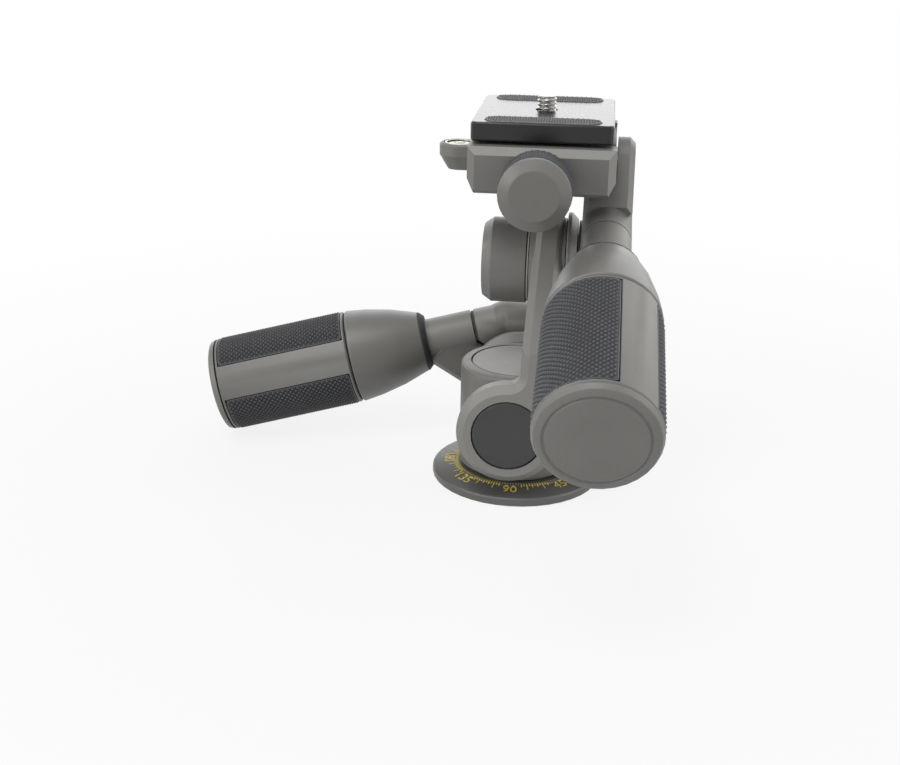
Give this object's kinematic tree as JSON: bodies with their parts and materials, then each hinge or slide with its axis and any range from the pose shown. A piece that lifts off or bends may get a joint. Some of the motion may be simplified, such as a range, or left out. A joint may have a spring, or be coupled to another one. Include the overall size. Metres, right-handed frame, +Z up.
{
  "type": "three way pan tilt head",
  "caption": "Tripod head with panning base, side and front tilts, two fold-out grips and a clamp with a quick release plate.",
  "frame": {"origin": "centre of the base disc's underside, on the pan axis, where the tripod's stud enters", "axes": "+Z up along the pan axis, -Y towards the user, the front tilt axis runs along X"},
  "size_m": [0.1656, 0.18, 0.1356],
  "materials": {
    "grey_paint": "satin",
    "dark_paint": "satin",
    "black_coat": "gloss",
    "rubber": "matt",
    "steel": "satin",
    "brass": "satin",
    "nylon": "matt",
    "glass_green": "gloss"
  },
  "bodies": {
    "base": {"base_disc": "dark_paint", "pan_post": "steel", "post_collar": "brass", "pan_washer": "nylon"},
    "pan_stage": {"pan_housing": "grey_paint", "housing_cap": "grey_paint"},
    "pan_lock": {"pan_knob": "grey_paint", "pan_knob_band": "rubber", "pan_knob_screw": "steel"},
    "arm": {"tilt_arm": "grey_paint", "front_cap": "dark_paint", "rear_cap": "dark_paint", "front_nut": "steel", "rear_nut": "steel", "front_washer": "nylon", "rear_washer": "nylon", "side_shaft": "steel", "left_knuckle": "grey_paint", "left_hinge_pin": "steel"},
    "head": {"platform": "grey_paint", "barrel_cap": "dark_paint", "upper_washer": "nylon", "tilt_flange": "grey_paint", "shaft_cap": "dark_paint", "front_shaft": "steel", "level_ring": "steel", "level_vial": "glass_green", "right_hinge_pin": "steel"},
    "jaw_slide_body": {"jaw": "grey_paint", "jaw_pin_left": "steel", "jaw_pin_right": "steel"},
    "clamp_lock": {"clamp_knob": "grey_paint", "clamp_knob_band": "rubber", "clamp_screw": "steel"},
    "plate": {"camera_plate": "black_coat", "front_strip": "rubber", "rear_strip": "rubber"},
    "plate_screw": {"camera_screw": "steel"},
    "left_elbow_body": {"left_elbow": "grey_paint"},
    "left_tube_body": {"left_tube": "grey_paint"},
    "left_grip": {"left_cone": "grey_paint", "left_grip_core": "grey_paint", "left_panel_upper": "rubber", "left_panel_lower": "rubber", "left_end_cap": "grey_paint"},
    "right_elbow_body": {"right_elbow": "grey_paint"},
    "right_tube_body": {"right_tube": "grey_paint"},
    "right_grip": {"right_cone": "grey_paint", "right_grip_core": "grey_paint", "right_panel_upper": "rubber", "right_panel_lower": "rubber", "right_end_cap": "grey_paint"}
  },
  "joints": [
    {"name": "pan_turn", "type": "hinge", "parent": "base", "child": "pan_stage", "pos_m": [0, 0, 0], "axis": [0, 0, 1], "continuous": true},
    {"name": "pan_lock_turn", "type": "hinge", "parent": "pan_stage", "child": "pan_lock", "pos_m": [0.02005, 0.00426, 0.0155], "axis": [0.9781, 0.2079, 0], "range_deg": [-90, 90]},
    {"name": "side_tilt", "type": "hinge", "parent": "pan_stage", "child": "arm", "pos_m": [-0.0015, 0, 0.0268], "axis": [0, 1, 0], "range_deg": [-75, 65]},
    {"name": "front_tilt", "type": "hinge", "parent": "arm", "child": "head", "pos_m": [0, 0, 0.0794], "axis": [-1, 0, 0], "range_deg": [-50, 75]},
    {"name": "left_handle_fold", "type": "hinge", "parent": "arm", "child": "left_elbow_body", "pos_m": [-0.01646, 0.03908, 0.02629], "axis": [0.1426, -0.9898, 0], "range_deg": [0, 75]},
    {"name": "left_handle_twist", "type": "hinge", "parent": "left_elbow_body", "child": "left_tube_body", "pos_m": [-0.0198, 0.0386, 0.0405], "axis": [-0.9632, -0.1388, -0.23], "range_deg": [-180, 180]},
    {"name": "left_handle_extend", "type": "slide", "parent": "left_tube_body", "child": "left_grip", "axis": [-0.9632, -0.1388, -0.23], "range_m": [0, 0.0246]},
    {"name": "right_handle_fold", "type": "hinge", "parent": "head", "child": "right_elbow_body", "pos_m": [0.0278, -0.01094, 0.11648], "axis": [1, 0, 0], "range_deg": [0, 28]},
    {"name": "right_handle_twist", "type": "hinge", "parent": "right_elbow_body", "child": "right_tube_body", "pos_m": [0.0278, -0.0067, 0.1025], "axis": [0, -0.9568, -0.2907], "range_deg": [-180, 180]},
    {"name": "right_handle_extend", "type": "slide", "parent": "right_tube_body", "child": "right_grip", "axis": [0, -0.9568, -0.2907], "range_m": [-0.0246, 0]},
    {"name": "clamp_knob_turn", "type": "hinge", "parent": "jaw_slide_body", "child": "clamp_lock", "pos_m": [0.0055, -0.0345, 0.1133], "axis": [0, -1, 0], "range_deg": [0, 720]},
    {"name": "jaw_open", "type": "slide", "parent": "head", "child": "jaw_slide_body", "axis": [0, -1, 0], "range_m": [0, 0.003]},
    {"name": "plate_travel", "type": "slide", "parent": "head", "child": "plate", "axis": [1, 0, 0], "range_m": [-0.01, 0]},
    {"name": "camera_screw_turn", "type": "hinge", "parent": "plate", "child": "plate_screw", "pos_m": [0.0061, -0.0007, 0.125], "axis": [0, 0, 1], "continuous": true}
  ],
  "couplings": [
    {"joint": "clamp_knob_turn", "follows": "jaw_open", "rad_per_m": 4188.8}
  ]
}
